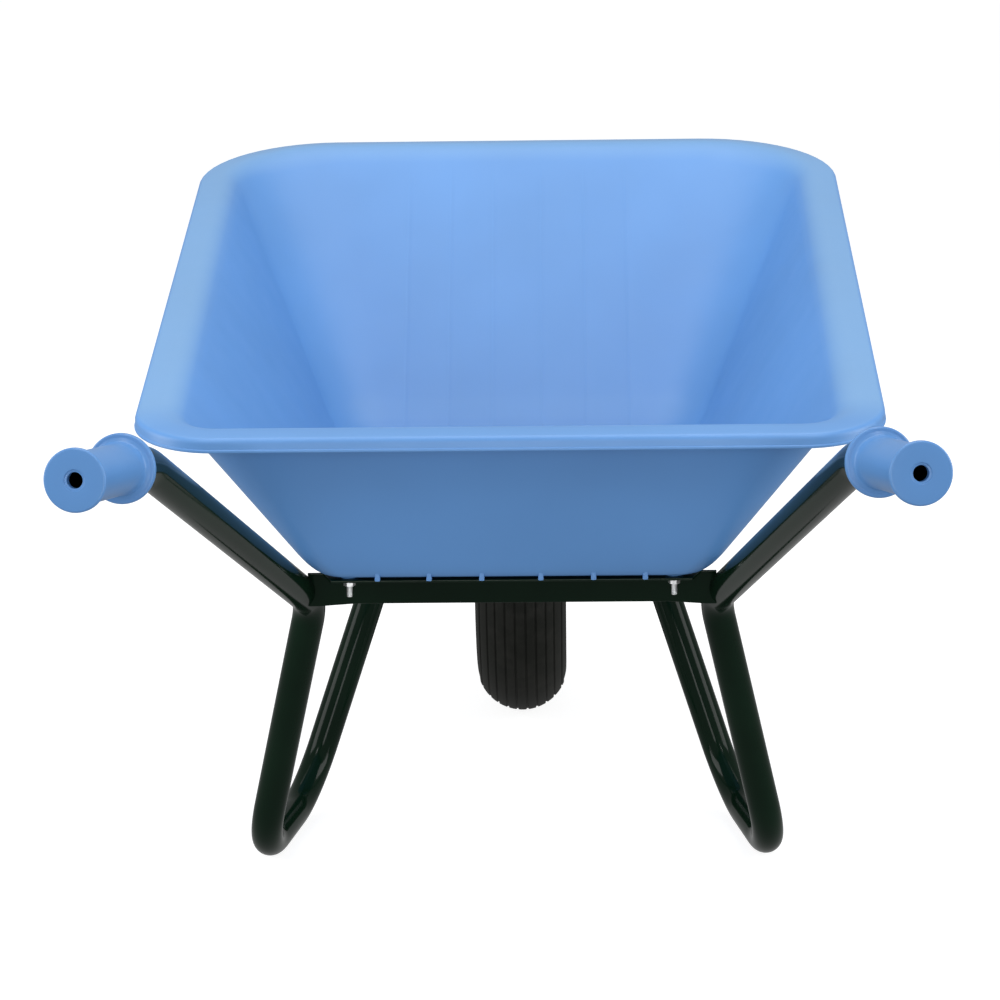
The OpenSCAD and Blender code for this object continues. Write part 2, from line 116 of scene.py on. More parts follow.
def painted_top_sheen(tree, tone, sheen_tone, amount, sheen_low_y, sheen_full_y):
    """Paints a sheen: fades the tone towards a paler tone where the surface faces straight up, and less
    towards the rear. The paler tone is painted highlight standing in for light on the rim tops.
    """
    coordinates = tree.nodes.new("ShaderNodeTexCoord")
    place = tree.nodes.new("ShaderNodeSeparateXYZ")
    tree.links.new(coordinates.outputs["Object"], place.inputs["Vector"])
    # Painted sheen: a fifth as strong at the rear rim, full further forward.
    sheen_by_place = tree.nodes.new("ShaderNodeMapRange")
    sheen_by_place.inputs["From Min"].default_value = sheen_low_y
    sheen_by_place.inputs["From Max"].default_value = sheen_full_y
    sheen_by_place.inputs["To Min"].default_value = amount * 0.2
    sheen_by_place.inputs["To Max"].default_value = amount
    tree.links.new(place.outputs["Y"], sheen_by_place.inputs["Value"])
    geometry = tree.nodes.new("ShaderNodeNewGeometry")
    split = tree.nodes.new("ShaderNodeSeparateXYZ")
    tree.links.new(geometry.outputs["Normal"], split.inputs["Vector"])
    facing = tree.nodes.new("ShaderNodeMapRange")
    facing.inputs["From Min"].default_value = 0.72
    facing.inputs["From Max"].default_value = 0.99
    tree.links.new(sheen_by_place.outputs["Result"], facing.inputs["To Max"])
    tree.links.new(split.outputs["Z"], facing.inputs["Value"])
    mix = tree.nodes.new("ShaderNodeMix")
    mix.data_type = "RGBA"
    tree.links.new(facing.outputs["Result"], mix.inputs[0])
    tree.links.new(tone, mix.inputs[6])
    mix.inputs[7].default_value = (*sheen_tone, 1.0)
    return mix.outputs[2]


def moulded_plastic(name, color, roughness=0.4, mottling=0.05, sheen_tone=None):
    """Satin moulded plastic: faint tone drift, uneven gloss and a fine orange-peel skin."""
    material, tree, shader = new_material(name)
    vector = object_coordinates(tree)
    drift = noise(tree, vector, 5.0, 3.0)
    tone = ramp(tree, drift, shade(color, 1 - mottling), shade(color, 1 + mottling), 0.3, 0.7)
    # Painted sheen: paler where the surface faces straight up, standing in for light on the rim tops.
    if sheen_tone:
        tone = painted_top_sheen(tree, tone, sheen_tone, TOP_SHEEN, SHEEN_LOW_Y, SHEEN_FULL_Y)
    tree.links.new(tone, shader.inputs["Base Color"])
    gloss = noise(tree, vector, 26.0, 5.0)
    rough = span(tree, gloss, roughness - 0.06, roughness + 0.07)
    tree.links.new(rough, shader.inputs["Roughness"])
    bump(tree, shader, noise(tree, vector, 900.0, 2.0), 0.12, 0.0002)
    shader.inputs["IOR"].default_value = 1.49
    return material


def gloss_paint(name, color, roughness=0.07):
    """Stove-enamelled steel: deep gloss coat with a slight waviness and dust in the gloss."""
    material, tree, shader = new_material(name)
    vector = object_coordinates(tree)
    drift = noise(tree, vector, 9.0, 3.0)
    tone = ramp(tree, drift, shade(color, 0.85), shade(color, 1.2))
    tree.links.new(tone, shader.inputs["Base Color"])
    dust = noise(tree, vector, 55.0, 6.0, 0.6)
    tree.links.new(span(tree, dust, roughness, roughness + 0.12), shader.inputs["Roughness"])
    bump(tree, shader, noise(tree, vector, 130.0, 2.0), 0.08, 0.0004)
    shader.inputs["IOR"].default_value = 1.52
    shader.inputs["Specular IOR Level"].default_value = 0.10
    shader.inputs["Coat Weight"].default_value = 0.04
    shader.inputs["Coat Roughness"].default_value = 0.08
    return material


def zinc_plate(name):
    """Bright zinc plating: metallic, slightly cloudy and finely scratched."""
    material, tree, shader = new_material(name)
    vector = object_coordinates(tree)
    cloud = noise(tree, vector, 160.0, 4.0)
    tone = ramp(tree, cloud, (0.84, 0.86, 0.87), (0.96, 0.97, 0.97))
    tree.links.new(tone, shader.inputs["Base Color"])
    tree.links.new(span(tree, cloud, 0.34, 0.52), shader.inputs["Roughness"])
    bump(tree, shader, noise(tree, vector, 1500.0, 3.0), 0.1, 0.0001)
    shader.inputs["Metallic"].default_value = 1.0
    return material


def rubber(name, color, roughness=0.62, dust_color=(0.075, 0.072, 0.066)):
    """Black rubber with a little pale dust in the tone and a matte, pebbly skin."""
    material, tree, shader = new_material(name)
    vector = object_coordinates(tree)
    dust = noise(tree, vector, 38.0, 6.0, 0.65)
    tone = ramp(tree, dust, color, dust_color, 0.45, 0.85)
    tree.links.new(tone, shader.inputs["Base Color"])
    tree.links.new(span(tree, dust, roughness - 0.08, roughness + 0.12), shader.inputs["Roughness"])
    bump(tree, shader, noise(tree, vector, 700.0, 3.0), 0.2, 0.0003)
    shader.inputs["Specular IOR Level"].default_value = 0.22
    return material


def floor_material():
    material, tree, shader = new_material("floor")
    vector = object_coordinates(tree)
    drift = noise(tree, vector, 0.6, 2.0)
    tone = ramp(tree, drift, (0.38, 0.38, 0.38), (0.40, 0.40, 0.40))
    tree.links.new(tone, shader.inputs["Base Color"])
    shader.inputs["Roughness"].default_value = 0.9
    shader.inputs["Specular IOR Level"].default_value = 0.0
    shader.inputs["Emission Color"].default_value = (1.0, 1.0, 1.0, 1.0)
    shader.inputs["Emission Strength"].default_value = 0.86
    return material


PAN_BLUE = (0.105, 0.275, 0.600)
# Paler tone used for the painted sheen on the pan's up-facing rim tops.
PAN_SHEEN_TONE = (0.240, 0.420, 0.620)
TUBE_GREEN = (0.003, 0.012, 0.006)

# The pan material carries a painted sheen on its up-facing rim tops.
pan_plastic = moulded_plastic("pan_plastic", PAN_BLUE, 0.40, sheen_tone=PAN_SHEEN_TONE)
grip_plastic = moulded_plastic("grip_plastic", shade(PAN_BLUE, 0.9), 0.34, 0.03)
frame_paint = gloss_paint("frame_paint", TUBE_GREEN)
zinc = zinc_plate("zinc_steel")
tyre_rubber = rubber("tyre_rubber", (0.005, 0.006, 0.004), dust_color=(0.020, 0.020, 0.017))
butyl = rubber("butyl_rubber", (0.012, 0.012, 0.012), 0.5)
rim_paint = gloss_paint("rim_paint", (0.50, 0.52, 0.53), 0.3)
nylon = moulded_plastic("bush_nylon", (0.72, 0.72, 0.66), 0.45)
cap_plastic = moulded_plastic("cap_plastic", (0.012, 0.012, 0.012), 0.45)


# ---------------------------------------------------------------- mesh tools


def finish_piece(name, vertices, faces, material, body, nodes=(), sharp=40.0):
    """Makes one smooth-shaded piece from millimetre vertices and hangs it on its body."""
    mesh = bpy.data.meshes.new(name)
    mesh.from_pydata([Vector(v) * MM for v in vertices], [], faces)
    build = bmesh.new()
    build.from_mesh(mesh)
    bmesh.ops.remove_doubles(build, verts=build.verts, dist=1e-6)
    bmesh.ops.recalc_face_normals(build, faces=build.faces)
    for face in build.faces:
        face.smooth = True
    for edge in build.edges:
        if len(edge.link_faces) == 2 and edge.calc_face_angle() > math.radians(sharp):
            edge.smooth = False
    build.to_mesh(mesh)
    build.free()
    mesh.update()
    piece = bpy.data.objects.new(name, mesh)
    bpy.context.scene.collection.objects.link(piece)
    mesh.materials.append(material)
    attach(piece, body)
    if nodes:
        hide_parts(*nodes)
    return piece


def joined(parts):
    """Joins (vertices, faces) shells into one."""
    vertices, faces = [], []
    for part_vertices, part_faces in parts:
        start = len(vertices)
        vertices.extend(part_vertices)
        faces.extend([tuple(i + start for i in face) for face in part_faces])
    return vertices, faces


def skin(rings, wrap_rings=False, cap=True):
    """Faces between equal closed rings of points, with flat caps or the last ring joined to the first."""
    count = len(rings[0])
    vertices = [Vector(p) for ring in rings for p in ring]
    spans = len(rings) if wrap_rings else len(rings) - 1
    faces = []
    for j in range(spans):
        low = j * count
        high = ((j + 1) % len(rings)) * count
        for i in range(count):
            k = (i + 1) % count
            faces.append((low + i, low + k, high + k, high + i))
    if cap and not wrap_rings:
        faces.append(tuple(reversed(range(count))))
        faces.append(tuple(range(spans * count, (spans + 1) * count)))
    return vertices, faces


def corner_arc(here, back, ahead, radius, steps):
    """The points of a corner at here rounded to radius, between the vectors back and ahead."""
    half = back.angle(ahead) / 2
    if half > math.radians(89.5):
        return [here]
    reach = min(radius / math.tan(half), back.length * 0.49, ahead.length * 0.49)
    radius = reach * math.tan(half)
    centre = here + (back.normalized() + ahead.normalized()).normalized() * (radius / math.sin(half))
    start = here + back.normalized() * reach - centre
    end = here + ahead.normalized() * reach - centre
    return [centre + start.slerp(end, k / steps).normalized() * radius for k in range(steps + 1)]


def rounded(points, steps=5):
    """A closed outline of (x, y, radius) corners with each corner rounded to its radius."""
    outline = []
    count = len(points)
    for i, (x, y, radius) in enumerate(points):
        here = Vector((x, y))
        if radius <= 0:
            outline.append(here)
            continue
        back = Vector(points[i - 1][:2]) - here
        ahead = Vector(points[(i + 1) % count][:2]) - here
        outline += corner_arc(here, back, ahead, radius, steps)
    return outline


def turned(outline, place, steps=96):
    """Revolves a closed (radius, along) outline round the z axis of place."""
    rings = []
    for k in range(steps):
        angle = 2 * math.pi * k / steps
        across = Vector((math.cos(angle), math.sin(angle), 0))
        rings.append([place @ (across * p[0] + Vector((0, 0, p[1]))) for p in outline])
    return skin(rings, wrap_rings=True)


def turned_solid(profile, place, steps=96):
    """Revolves an open (radius, along) profile that starts and ends on the axis."""
    rings = []
    for radius, along in profile:
        ring = []
        for k in range(steps):
            angle = 2 * math.pi * k / steps
            ring.append(place @ Vector((radius * math.cos(angle), radius * math.sin(angle), along)))
        rings.append(ring)
    return skin(rings)


def frame_at(origin, z_dir, near=(0, 0, 1)):
    z_dir = Vector(z_dir).normalized()
    x_dir = Vector(near) - z_dir * z_dir.dot(Vector(near))
    x_dir.normalize()
    y_dir = z_dir.cross(x_dir)
    place = Matrix((x_dir, y_dir, z_dir)).transposed().to_4x4()
    place.translation = Vector(origin)
    return place


def mirrored(vertices):
    return [Vector((-v[0], v[1], v[2])) for v in vertices]


# ---------------------------------------------------------------- frame tubes

TUBE_R = 16.0
TUBE_BORE_R = 14.4
KNEE = Vector((287.3, -605, 547.8))
GRIP_END = Vector((315, -767, 571))
GRIP_AXIS = (GRIP_END - KNEE).normalized()
TUBE_POINTS = [
    GRIP_END - GRIP_AXIS * 9,
    KNEE,
    Vector((197, -132, 303.5)),
    Vector((263, -70, TUBE_R)),
    Vector((231, 121, TUBE_R)),
    Vector((120, 234.6, 340)),
    Vector((90, 425, 246)),
    Vector((90, 754, 200)),
    Vector((0, 754, 200)),
]
TUBE_BENDS = [0, 120, 45, 75, 90, 50, 120, 60, 0]


def centre_line(points, radii, step=math.radians(3)):
    """Stations (position, direction) along a polyline with round bends."""
    stations = [(points[0], (points[1] - points[0]).normalized())]
    for i in range(1, len(points) - 1):
        back = (points[i - 1] - points[i]).normalized()
        ahead = (points[i + 1] - points[i]).normalized()
        turn = math.pi - back.angle(ahead)
        centre = points[i] + (back + ahead).normalized() * (radii[i] / math.cos(turn / 2))
        reach = radii[i] * math.tan(turn / 2)
        x_dir = (points[i] + back * reach - centre).normalized()
        z_dir = x_dir.cross(points[i] + ahead * reach - centre).normalized()
        y_dir = z_dir.cross(x_dir)
        steps = max(3, math.ceil(turn / step))
        for k in range(steps + 1):
            a = turn * k / steps
            position = centre + (x_dir * math.cos(a) + y_dir * math.sin(a)) * radii[i]
            stations.append((position, y_dir * math.cos(a) - x_dir * math.sin(a)))
    stations.append((points[-1], (points[-1] - points[-2]).normalized()))
    return stations


def subdivided(stations, longest=25.0):
    """Adds stations along the straight stretches, so that long faces stay regular."""
    out = [stations[0]]
    for (p, d), (q, e) in zip(stations, stations[1:]):
        parts = max(1, math.ceil((q - p).length / longest))
        for k in range(1, parts + 1):
            out.append((p.lerp(q, k / parts), e if k == parts else d.lerp(e, k / parts).normalized()))
    return out


def swept_tube(stations, r_out, r_in, sides=48):
    """A hollow tube along the stations, with flat mouths."""
    x_dir = Vector((0, 0, 1))
    outer, inner = [], []
    for position, direction in stations:
        x_dir = (x_dir - direction * x_dir.dot(direction)).normalized()
        y_dir = direction.cross(x_dir)
        around = [
            x_dir * math.cos(2 * math.pi * k / sides) + y_dir * math.sin(2 * math.pi * k / sides)
            for k in range(sides)
        ]
        outer.append([position + a * r_out for a in around])
        inner.append([position + a * r_in for a in around])
    return skin(outer + inner[::-1], wrap_rings=True)


def frame_tubes():
    stations = subdivided(centre_line(TUBE_POINTS, TUBE_BENDS))
    vertices, faces = swept_tube(stations, TUBE_R, TUBE_BORE_R)
    for name, points in (("right_frame_tube", vertices), ("left_frame_tube", mirrored(vertices))):
        finish_piece(name, points, faces, frame_paint, FRAME_BODY, [name])


def nose_sleeve():
    outline = rounded([(16.05, -25, 0.8), (18.5, -25, 1.2), (18.5, 25, 1.2), (16.05, 25, 0.8)])
    place = frame_at((0, 754, 200), (1, 0, 0))
    vertices, faces = turned(outline, place, 64)
    finish_piece("nose_sleeve", vertices, faces, frame_paint, FRAME_BODY, ["nose_sleeve"])


# ---------------------------------------------------------------- grips


def grips():
    length = 115.0
    bore = 16.05
    hole = 6.25
    outline = rounded(
        [
            (bore, 0, 0.6),
            (28.0, 0, 1.4),
            (28.0, 5.2, 1.9),
            (24.6, 5.6, 0.8),
            (21.2, 7.2, 3.4),
            (20.4, 16, 8),
            (20.4, length - 12, 6),
            (20.9, length - 6.2, 1.6),
            (24.5, length - 5.2, 1.6),
            (24.5, length, 1.8),
            (8.4, length - 0.2, 0.3),
            (7.9, length - 1.1, 0.3),
            (hole, length - 1.4, 0.4),
            (hole, length - 7, 0.3),
            (bore, length - 7, 0.3),
        ],
        6,
    )
    place = frame_at(GRIP_END - GRIP_AXIS * length, GRIP_AXIS)
    vertices, faces = turned(outline, place, 96)
    finish_piece("right_grip", vertices, faces, grip_plastic, FRAME_BODY, ["right_grip"])
    points = mirrored(vertices)
    finish_piece("left_grip", points, faces, grip_plastic, FRAME_BODY, ["left_grip"])


# ---------------------------------------------------------------- pan

PAN_FLOOR_Z = 346.5
RIB_HEIGHT = 3.0
STRUT_TOP = PAN_FLOOR_Z - RIB_HEIGHT
PAN_WALL = 4.5
INNER_SHIFT = 5.4
RIM_FLANGE = 36.0
RIM_LIP = 15.0
RIM_FOLLOW = 0.4
FILLET_RISE = 0.13
FILLET_INSET = 6.0
FILLET_NARROWING = 7.0
WALL_TOP = 0.93
RIB_X = (28.0, 78.0, 127.0)
RIB_HALF = 2.5
RIB_RISE = 5.0
RIB_TOP = 0.88
RIB_SINK = 0.8
# Rear y, front y, rear half width, front half width, rear z, front z, rear and front corner radius.
# The front rim is 0.2 lower than the CAD's, as its finer corners would stand out of the CAD's box.
SECTION_FLOOR = (-212.0, 288.0, 188.0, 188.0, PAN_FLOOR_Z, PAN_FLOOR_Z, 26.0, 52.0)
SECTION_RIM = (-257.0, 592.0, 315.0, 332.0, 504.5, 667.8, 46.0, 116.0)
CORNER_STEPS = 14


def rib_columns(limit):
    """Places across the pan, dense at the ribs, from the middle to limit."""
    places = [0.0, 14.0]
    for x in RIB_X:
        places += [x - 5.0, x - 2.6, x - 1.3, x, x + 1.3, x + 2.6, x + 5.0]
        places.append(x + 25.0)
    places[-1] = 0.5 * (RIB_X[-1] + 5.0 + limit) if limit > RIB_X[-1] + 5.0 else RIB_X[-1] + 5.0
    places.append(max(limit, RIB_X[-1] + 5.0))
    return places


def level(t, narrow):
    section = [a + (b - a) * t for a, b in zip(SECTION_FLOOR, SECTION_RIM)]
    section[2] -= narrow
    section[3] -= narrow
    return section


def pan_ring(t, grow, lift, narrow=0.0, rib_sink=0.0, rib_rise=0.0):
    """One closed loop round the pan at wall height t, grown outwards, lifted and narrowed.

    rib_sink pulls the front wall's inside towards each rib and rib_rise pushes its outside out.
    """
    s = level(t, narrow)
    points = []

    def put(x, y, along=0.0, push=0.0):
        slope_y = y - along * grow * (1 - RIM_FOLLOW)
        z = s[4] + (s[5] - s[4]) * (slope_y - s[0]) / (s[1] - s[0]) + lift
        points.append(Vector((x, y + push, z)))

    def corner(cx, cy, radius, first):
        for k in range(CORNER_STEPS + 1):
            a = math.radians(first + 90.0 * k / CORNER_STEPS)
            put(cx + (radius + grow) * math.cos(a), cy + (radius + grow) * math.sin(a), math.sin(a))

    def rib_push(x):
        nearest = min(abs(abs(x) - r) for r in RIB_X)
        if rib_sink and nearest < 4.0:
            return rib_sink * (1.0 - nearest / 4.0)
        if rib_rise and nearest < 2.0:
            return rib_rise
        return 0.0

    corner(s[3] - s[7], s[1] - s[7], s[7], 0)
    row = rib_columns(s[3] - s[7])
    across = list(reversed(row[1:])) + [0.0] + [-x for x in row[1:]]
    for x in across[1:-1]:
        put(x, s[1] + grow, 1.0, rib_push(x))
    corner(-s[3] + s[7], s[1] - s[7], s[7], 90)
    for k in range(1, 24):
        u = k / 24.0
        put(-s[3] * (1 - u) - s[2] * u - grow, (s[1] - s[7]) * (1 - u) + (s[0] + s[6]) * u)
    corner(-s[2] + s[6], s[0] + s[6], s[6], 180)
    rear_limit = s[2] - s[6]
    for k in range(1, 32):
        put(-rear_limit + 2 * rear_limit * k / 32.0, s[0] - grow, -1.0)
    corner(s[2] - s[6], s[0] + s[6], s[6], 270)
    for k in range(1, 24):
        u = k / 24.0
        put(s[2] * (1 - u) + s[3] * u + grow, (s[0] + s[6]) * (1 - u) + (s[1] - s[7]) * u)
    return points


def smooth_profile(points, steps=4):
    """Rounds the corners of an open (grow, lift, radius) profile."""
    out = []
    for i, (x, y, radius) in enumerate(points):
        here = Vector((x, y))
        if radius <= 0 or i in (0, len(points) - 1):
            out.append(here)
            continue
        back = Vector(points[i - 1][:2]) - here
        ahead = Vector(points[i + 1][:2]) - here
        out += corner_arc(here, back, ahead, radius, steps)
    return out


def wall_levels(steps=14):
    return [FILLET_RISE + (WALL_TOP - FILLET_RISE) * k / steps for k in range(1, steps + 1)]


def fillet_rings(grow, lift, ribs, steps=8):
    """The curve between the pan's floor and its walls, from the floor upwards."""
    rings = []
    for k in range(steps + 1):
        u = k / steps
        left = (1 - u) ** 2
        growth = grow - FILLET_INSET * left
        rings.append(pan_ring(u * u * FILLET_RISE, growth, lift, FILLET_NARROWING * left, **ribs(u)))
    return rings


def blended(start, corner, end, steps=10):
    """Points (wall height, growth, lift) that turn softly from start to end, past a corner."""
    curve = []
    for k in range(1, steps + 1):
        u = k / steps
        weights = ((1 - u) ** 2, 2 * u * (1 - u), u * u)
        curve.append([sum(w * p[i] for w, p in zip(weights, (start, corner, end))) for i in range(3)])
    return curve


def rim_rings():
    """The rolled rim, from under the flange round its lip and top to the inside of the wall."""
    under = blended((WALL_TOP, 0, 0), (0.972, 0.6, -1.2), (1, 10, -PAN_WALL - 0.8), 6)
    lip = smooth_profile(
        [
            (10, -PAN_WALL - 0.8, 0),
            (RIM_FLANGE - 4.4, -PAN_WALL - 2.2, 3),
            (RIM_FLANGE - 4.4, -RIM_LIP + 1.6, 0.8),
            (RIM_FLANGE - 3.6, -RIM_LIP, 0.8),
            (RIM_FLANGE, -RIM_LIP, 1.1),
            (RIM_FLANGE, -RIM_LIP + 2.6, 0.9),
            (RIM_FLANGE - 0.8, -RIM_LIP + 3.2, 0.6),
            (RIM_FLANGE - 1.0, -1.9, 6),
            (12, 0, 0),
        ],
        6,
    )
    inside = blended((1, 12, 0), (0.999, -INNER_SHIFT, 0), (0.93, -INNER_SHIFT, 0), 12)
    profile = under + [(1, grow, lift) for grow, lift in lip[1:]] + inside
    return [pan_ring(t, grow, lift) for t, grow, lift in profile]


def pan():
    rings = fillet_rings(0, 0, lambda u: {"rib_rise": RIB_RISE * u if u > 0.6 else 0.0})
    for t in wall_levels():
        rings.append(pan_ring(t, 0, 0, rib_rise=RIB_RISE if t < RIB_TOP else 0.0))
    rings += rim_rings()
    for t in reversed(wall_levels()[:-1]):
        rings.append(pan_ring(t, -INNER_SHIFT, 0, rib_sink=RIB_SINK))
    rings += reversed(fillet_rings(-INNER_SHIFT, PAN_WALL, lambda u: {"rib_sink": RIB_SINK * u}))
    shells = [skin(rings)] + pan_ribs()
    vertices, faces = joined(shells)
    finish_piece("pan", vertices, faces, pan_plastic, FRAME_BODY, ["pan"], sharp=48)


def block(corners_low, corners_high, place=None, edge=0.8):
    """A box with softly rounded long edges, from its low corner to its high corner."""
    place = place or Matrix.Identity(4)
    (x0, y0, z0), (x1, y1, z1) = corners_low, corners_high
    outline = rounded([(x0, z0, edge), (x1, z0, edge), (x1, z1, edge), (x0, z1, edge)], 3)
    rings = [[place @ Vector((p[0], y, p[1])) for p in outline] for y in (y0, y1)]
    return skin(rings)


REAR_BOLT = (155.0, -192.0)
FRONT_BOLT = (53.0, 235.0)
TAB_Y = SECTION_FLOOR[0] + 0.5
TAB_HALF = 2.1
TAB_DEPTH = 3.2
TAB_DROP = 1.4


def pan_ribs():
    """The ribs under the floor, the tabs at their rear ends and the pads round the pan bolts."""
    shells = []
    for x in RIB_X:
        for side in (-1, 1):
            low = (side * x - RIB_HALF, SECTION_FLOOR[0] + 1, STRUT_TOP)
            high = (side * x + RIB_HALF, SECTION_FLOOR[1] - 4, PAN_FLOOR_Z + 1)
            shells.append(block(low, high, edge=1.0))
            low = (side * x - TAB_HALF, TAB_Y, PAN_FLOOR_Z - TAB_DROP)
            high = (side * x + TAB_HALF, TAB_Y + TAB_DEPTH, PAN_FLOOR_Z + PAN_WALL)
            shells.append(block(low, high, edge=1.2))
    for x, y in (REAR_BOLT, FRONT_BOLT):
        for side in (-1, 1):
            place = Matrix.Translation((side * x, y, STRUT_TOP))
            outline = rounded([(3.3, 0, 0.3), (9, 0, 0.8), (9, 4, 0), (3.3, 4, 0)], 3)
            shells.append(turned(outline, place, 40))
    return shells


# ---------------------------------------------------------------- struts

STRUT_SHEET = 2.5
STRUT_FLANGE = 30.0
STRUT_HEIGHT = 31.0
REAR_STRUT_Y = -177.0
FRONT_STRUT_Y = 250.0


def strut(name, place_y, reach, flange_end, flare=0.0, flare_from=0.0):
    """A folded sheet: an upright face with a flange along its top, towards the handles.

    The face grows deeper by flare from flare_from outwards, and the flange narrows to flange_end.
    """
    sheet = STRUT_SHEET
    flare_to = reach - 10 if flare else reach
    columns = [-reach + 2 * reach * k / 80 for k in range(81)]
    rings = []
    for x in columns:
        u = min(1.0, max(0.0, abs(x) - flare_from) / (flare_to - flare_from)) if flare else 0.0
        low = STRUT_TOP - STRUT_HEIGHT - flare * u
        flange = STRUT_FLANGE * min(1.0, max(0.05, (flange_end - abs(x)) / 9.0))
        outline = rounded(
            [
                (place_y, low, 0.8),
                (place_y + sheet, low, 0.8),
                (place_y + sheet, STRUT_TOP, 4.5),
                (place_y - flange, STRUT_TOP, 0.8),
                (place_y - flange, STRUT_TOP - sheet, 0.8),
                (place_y, STRUT_TOP - sheet, 1.6),
            ],
            4,
        )
        rings.append([Vector((x, p[0], p[1])) for p in outline])
    vertices, faces = skin(rings)
    finish_piece(name, vertices, faces, frame_paint, FRAME_BODY, [name], sharp=50)


def weld_bead(path, radius, seed):
    """A rippled weld bead along a list of points."""
    rng = random.Random(seed)
    stations = []
    for a, b in zip(path, path[1:]):
        steps = max(2, int((b - a).length / 1.2))
        stations += [(a.lerp(b, k / steps), (b - a).normalized()) for k in range(steps)]
    stations.append((path[-1], (path[-1] - path[-2]).normalized()))
    x_dir = Vector((0.3, 0.5, 0.8))
    rings = []
    for k, (position, direction) in enumerate(stations):
        x_dir = (x_dir - direction * x_dir.dot(direction)).normalized()
        y_dir = direction.cross(x_dir)
        end = min(k, len(stations) - 1 - k) / 3.0
        r = radius * min(1.0, 0.35 + end) * (1 + 0.14 * math.sin(k * 1.9) + rng.uniform(-0.05, 0.05))
        ring = []
        for i in range(14):
            a = 2 * math.pi * i / 14
            ring.append(position + (x_dir * math.cos(a) + y_dir * math.sin(a)) * r)
        rings.append(ring)
    return skin(rings)


# ---------------------------------------------------------------- fasteners


def hexagon_ring(flats, place, along, swell=0.0):
    """A hexagon of points, with each corner cut to a circle a little inside it by swell."""
    corner = flats / 2 / math.cos(math.radians(30))
    ring = []
    for k in range(6):
        for step in range(6):
            a = math.radians(60 * k + 10 * step)
            local = math.radians(10 * step - 30)
            radius = flats / 2 / math.cos(local)
            radius = min(radius, corner - swell)
            ring.append(place @ Vector((radius * math.cos(a), radius * math.sin(a), along)))
    return ring


def circle_ring(radius, place, along, count=36):
    angles = [2 * math.pi * k / count for k in range(count)]
    return [place @ Vector((radius * math.cos(a), radius * math.sin(a), along)) for a in angles]


def nut(flats, height, bore, place):
    """A hexagon nut with chamfered corners and a countersunk thread mouth."""
    corner = flats / 2 / math.cos(math.radians(30))
    cut = (corner - flats / 2) * 0.98
    rise = cut * 0.55
    rings = [
        circle_ring(bore, place, 0.6),
        circle_ring(bore + 0.6, place, 0),
        circle_ring(flats / 2 * 0.97, place, 0),
        hexagon_ring(flats, place, rise * 0.45, cut * 0.55),
        hexagon_ring(flats, place, rise),
        hexagon_ring(flats, place, height - rise),
        hexagon_ring(flats, place, height - rise * 0.45, cut * 0.55),
        circle_ring(flats / 2 * 0.97, place, height),
        circle_ring(bore + 0.6, place, height),
        circle_ring(bore, place, height - 0.6),
    ]
    return skin(rings, wrap_rings=True)


def hexagon_head(flats, height, place):
    """A bolt head: flat underneath, chamfered corners on top."""
    corner = flats / 2 / math.cos(math.radians(30))
    cut = (corner - flats / 2) * 0.98
    rise = cut * 0.55
    rings = [
        circle_ring(flats / 2 * 0.3, place, 0),
        hexagon_ring(flats, place, 0),
        hexagon_ring(flats, place, height - rise),
        hexagon_ring(flats, place, height - rise * 0.45, cut * 0.55),
        circle_ring(flats / 2 * 0.95, place, height),
        circle_ring(flats / 2 * 0.3, place, height),
    ]
    return skin(rings)


def threaded_rod(radius, start, stop, place, pitch=1.0, sides=28):
    """A rod with a true single-start thread between two lengths and chamfered ends."""
    per_turn = 16
    depth = 0.6 * pitch
    rings = [circle_ring(0.2, place, start, sides), circle_ring(radius - depth, place, start, sides)]
    turns = (stop - start - 1.2) / pitch
    for j in range(int(turns * per_turn / 2)):
        along = start + 0.6 + j * 2 * pitch / per_turn
        ring = []
        for k in range(sides):
            a = 2 * math.pi * k / sides
            phase = ((along - start) / pitch - k / sides) % 1.0
            wave = abs(phase - 0.5) * 2
            r = radius - depth * (1 - min(1.0, wave * 1.25))
            ring.append(place @ Vector((r * math.cos(a), r * math.sin(a), along)))
        rings.append(ring)
    rings.append(circle_ring(radius - depth, place, stop, sides))
    rings.append(circle_ring(0.2, place, stop, sides))
    return skin(rings)


def washer(r_out, r_in, height, place):
    outline = rounded([(r_in, 0, 0.2), (r_out, 0, 0.5), (r_out, height, 0.5), (r_in, height, 0.2)], 3)
    return turned(outline, place, 56)


